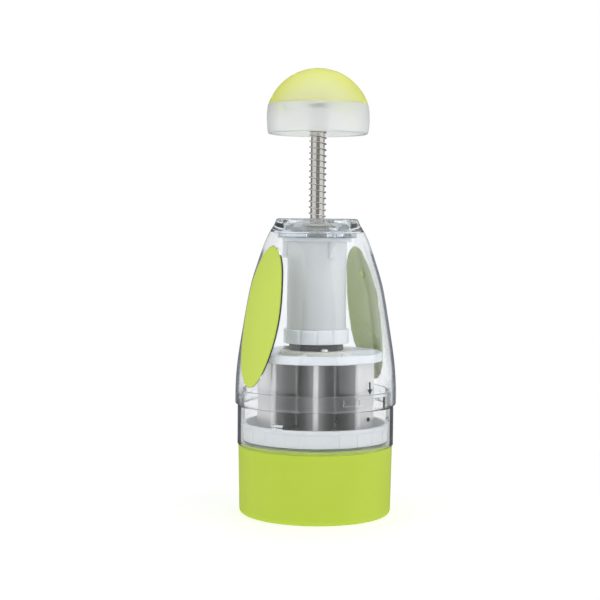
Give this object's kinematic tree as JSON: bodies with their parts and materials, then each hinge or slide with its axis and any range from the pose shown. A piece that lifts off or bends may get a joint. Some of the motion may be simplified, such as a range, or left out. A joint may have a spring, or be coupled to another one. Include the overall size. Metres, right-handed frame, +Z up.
{
  "type": "plunger food chopper",
  "caption": "Hand food chopper: palm knob on a sprung rod pushes and turns a folded steel blade through a slotted disc into a green base cup; clear bell housing with oval grips.",
  "frame": {"origin": "centre of the cup's underside, on the surface it stands on", "axes": "+Z up along the plunger, the two oval grips on +X and -X"},
  "size_m": [0.0892, 0.088, 0.2424],
  "materials": {
    "cup_green": "satin moulded polypropylene",
    "grip_green": "soft-touch moulded",
    "dome_green": "translucent, satin",
    "frosted": "frosted translucent",
    "clear": "clear polished",
    "white_plastic": "satin moulded",
    "natural_plastic": "natural acetal",
    "rod_steel": "ground and polished",
    "spring_steel": "drawn wire",
    "blade_steel": "rolled strip, ground edge",
    "zinc": "zinc plated",
    "buffer_rubber": "matt"
  },
  "bodies": {
    "cup": {"base_cup": "cup_green"},
    "housing": {"housing_shell": "clear", "grip_left": "grip_green", "grip_right": "grip_green", "guide_tube": "frosted", "drive_nut": "natural_plastic", "nut_retainer": "white_plastic", "guide_screws": "zinc", "top_bush": "natural_plastic", "spring_washer": "zinc", "return_spring": "spring_steel"},
    "plunger": {"plunger_rod": "rod_steel", "knob_skirt": "frosted", "knob_cap": "dome_green", "knob_screw": "zinc", "knob_washer": "zinc", "thrust_washer": "zinc", "end_washer": "zinc", "end_screw": "zinc"},
    "rotor": {"spiral_sleeve": "natural_plastic", "blade_carrier": "white_plastic", "zigzag_blade": "blade_steel", "sleeve_screws": "zinc", "stop_buffer": "buffer_rubber"},
    "wiper": {"wiper_disc": "white_plastic"},
    "chamber": {"chopping_chamber": "clear"}
  },
  "joints": [
    {"name": "lift_off", "type": "slide", "parent": "cup", "child": "housing", "axis": [0, 0, 1], "range_m": [0, 0.06]},
    {"name": "plunger_slide", "type": "slide", "parent": "housing", "child": "plunger", "axis": [0, 0, 1], "range_m": [-0.038, 0], "stiffness_N_per_m": 320, "springref_m": 0.02, "deforming": ["return_spring"]},
    {"name": "blade_spin", "type": "hinge", "parent": "plunger", "child": "rotor", "pos_m": [0, 0, 0.085], "axis": [0, 0, 1], "range_deg": [-60.5, 0]},
    {"name": "wiper_spin", "type": "hinge", "parent": "housing", "child": "wiper", "pos_m": [0, 0, 0.0425], "axis": [0, 0, 1], "range_deg": [-60.5, 0]},
    {"name": "chamber_twist", "type": "hinge", "parent": "housing", "child": "chamber", "pos_m": [0, 0, 0.062], "axis": [0, 0, 1], "range_deg": [0, 25]}
  ],
  "couplings": [
    {"joint": "blade_spin", "follows": "plunger_slide", "rad_per_m": 27.55},
    {"joint": "wiper_spin", "follows": "plunger_slide", "rad_per_m": 27.55}
  ]
}
